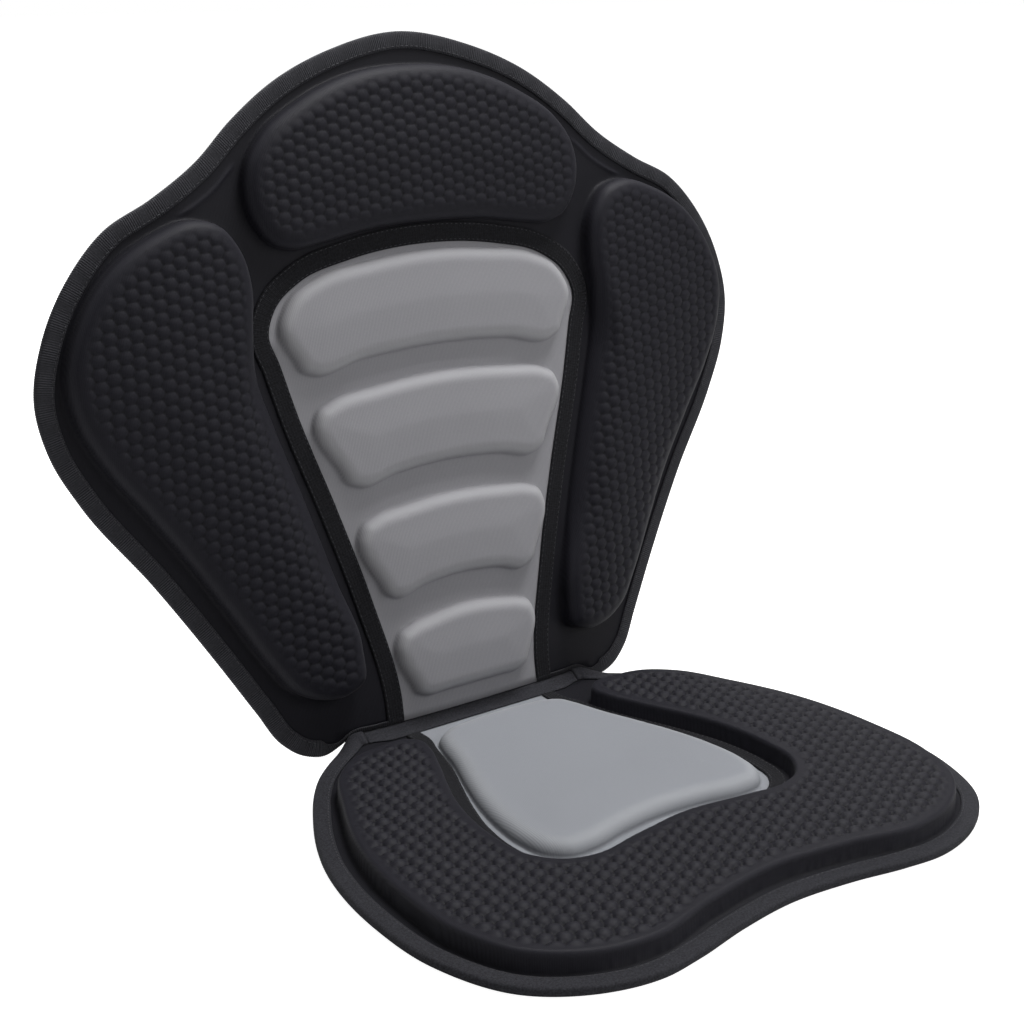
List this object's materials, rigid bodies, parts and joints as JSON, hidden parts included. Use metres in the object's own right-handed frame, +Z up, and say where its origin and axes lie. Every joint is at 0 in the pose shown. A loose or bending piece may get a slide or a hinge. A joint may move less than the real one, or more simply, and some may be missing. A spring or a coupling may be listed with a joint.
{
  "type": "kayak seat",
  "caption": "Padded kayak seat: moulded foam seat base and a taller moulded backrest with head, wing and lumbar pads, joined by a cloth hinge.",
  "frame": {"origin": "on the flat underside of the seat base, at the middle of its width and halfway along its depth", "axes": "+Z up, X across the seat, -Y towards the front edge, so the sitter faces -Y; the backrest leans 10 degrees back"},
  "size_m": [0.51, 0.3808, 0.425],
  "materials": {
    "black_moulded_fabric": "black knitted fabric bonded over moulded foam",
    "black_woven_tape": "ribbed black woven tape",
    "light_grey_knit": "light grey fine knit over foam",
    "mid_grey_knit": "mid grey fine knit over foam",
    "plain_black_cloth": "plain black woven cloth"
  },
  "bodies": {
    "seat": {"seat_base_sheet": "plain_black_cloth", "seat_moulded_pad": "black_moulded_fabric", "seat_centre_pad": "light_grey_knit", "seat_centre_tape": "black_woven_tape", "seat_edge_binding": "black_woven_tape", "hinge_tape": "black_woven_tape"},
    "backrest": {"backrest_rear_cover": "plain_black_cloth", "backrest_moulded_shell": "black_moulded_fabric", "backrest_centre_panel": "mid_grey_knit", "backrest_centre_tape": "black_woven_tape", "backrest_edge_binding": "black_woven_tape"}
  },
  "joints": [
    {"name": "backrest_fold", "type": "hinge", "parent": "seat", "child": "backrest", "pos_m": [0, 0.151, 0.005], "axis": [1, 0, 0], "range_deg": [-75, 55]}
  ]
}
